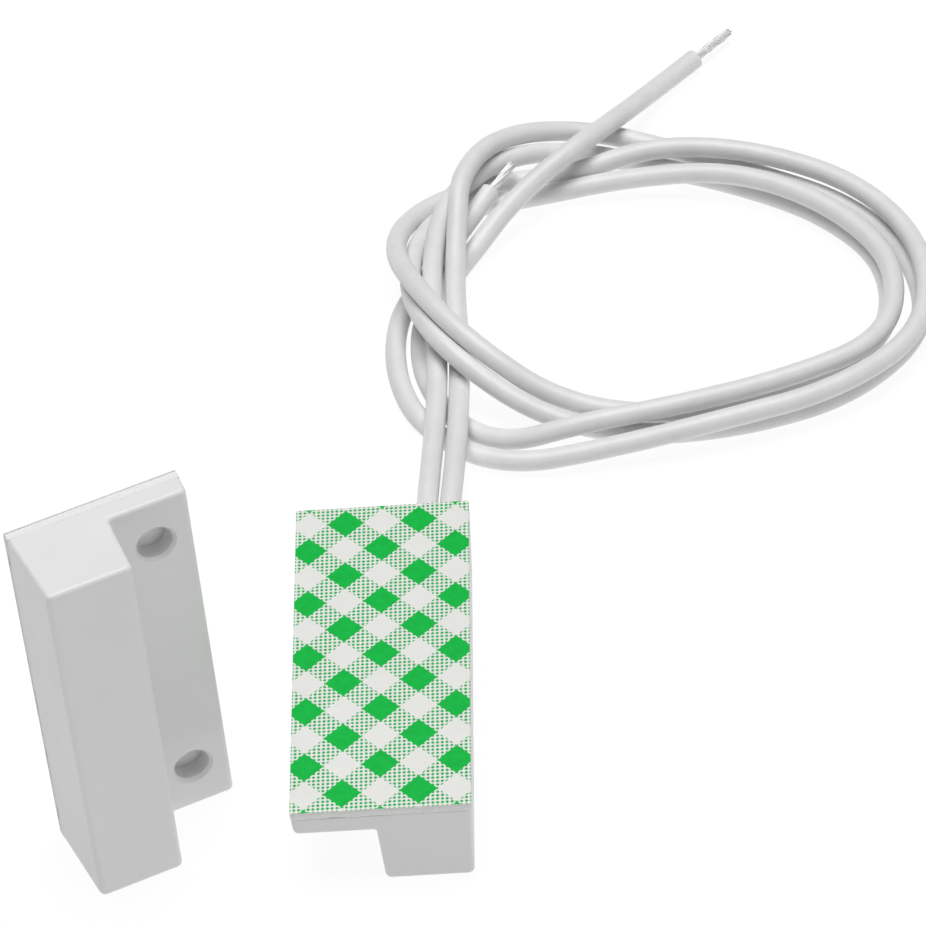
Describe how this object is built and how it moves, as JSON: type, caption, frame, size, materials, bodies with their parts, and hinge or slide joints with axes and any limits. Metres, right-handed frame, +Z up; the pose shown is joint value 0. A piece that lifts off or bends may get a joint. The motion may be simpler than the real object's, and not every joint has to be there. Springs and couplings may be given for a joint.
{
  "type": "surface-mount magnetic door contact sensor",
  "caption": "Reed switch in an L-shaped white housing with two loose leads, and a matching magnet housing, both with foam tape backs and screw flanges.",
  "frame": {"origin": "on the floor, under the middle of the box of the two housings with their tape", "axes": "+Z up, the way the switch's adhesive back faces; +Y along the switch, the way its leads leave; +X away from the magnet"},
  "size_m": [0.0695, 0.0946, 0.0318],
  "materials": {
    "switch_plastic": "satin white ABS, moulded",
    "magnet_plastic": "satin white ABS, moulded",
    "potting": "cast epoxy, off-white",
    "reed_glass": "clear, slightly green",
    "reed_metal": "nickel-iron, plated",
    "solder": "tin solder, dull",
    "lead_pvc": "soft white PVC, satin",
    "copper": "bare stranded copper",
    "tinned_strands": "tinned copper strands, bright",
    "foam": "white closed-cell foam with acrylic adhesive",
    "liner": "glazed off-white liner paper with a green print",
    "magnet_alloy": "ferrite, ground"
  },
  "bodies": {
    "switch": {"switch_housing": "switch_plastic", "switch_potting": "potting", "reed_glass_tube": "reed_glass", "reed_fixed_contact": "reed_metal", "reed_moving_anchor": "reed_metal", "solder_joint_a": "solder", "solder_joint_b": "solder", "lead_a_insulation": "lead_pvc", "lead_b_insulation": "lead_pvc", "lead_a_inner_insulation": "lead_pvc", "lead_a_conductor": "copper", "lead_b_conductor": "copper", "lead_a_tinned_end": "tinned_strands", "lead_b_tinned_end": "tinned_strands", "switch_foam_tape": "foam"},
    "magnet": {"magnet_housing": "magnet_plastic", "magnet_potting": "potting", "bar_magnet": "magnet_alloy", "magnet_foam_tape": "foam"},
    "reed_blade": {"reed_moving_blade": "reed_metal"},
    "switch_liner": {"switch_release_liner": "liner"},
    "magnet_liner": {"magnet_release_liner": "liner"}
  },
  "joints": [
    {"name": "door_travel", "type": "slide", "parent": "switch", "child": "magnet", "axis": [1, 0, 0], "range_m": [-0.03, 0.003]},
    {"name": "reed_flex", "type": "hinge", "parent": "switch", "child": "reed_blade", "pos_m": [0.01087, -0.00546, 0.0026], "axis": [0, 0, -1], "range_deg": [-1.6, 0.2]},
    {"name": "switch_liner_peel", "type": "slide", "parent": "switch", "child": "switch_liner", "axis": [0, 0, 1], "range_m": [0, 0.02]},
    {"name": "magnet_liner_peel", "type": "slide", "parent": "magnet", "child": "magnet_liner", "axis": [-0.4115, 0.9114, 0], "range_m": [0, 0.02]}
  ],
  "couplings": [
    {"joint": "reed_flex", "follows": "door_travel", "rad_per_m": 0.8727}
  ]
}
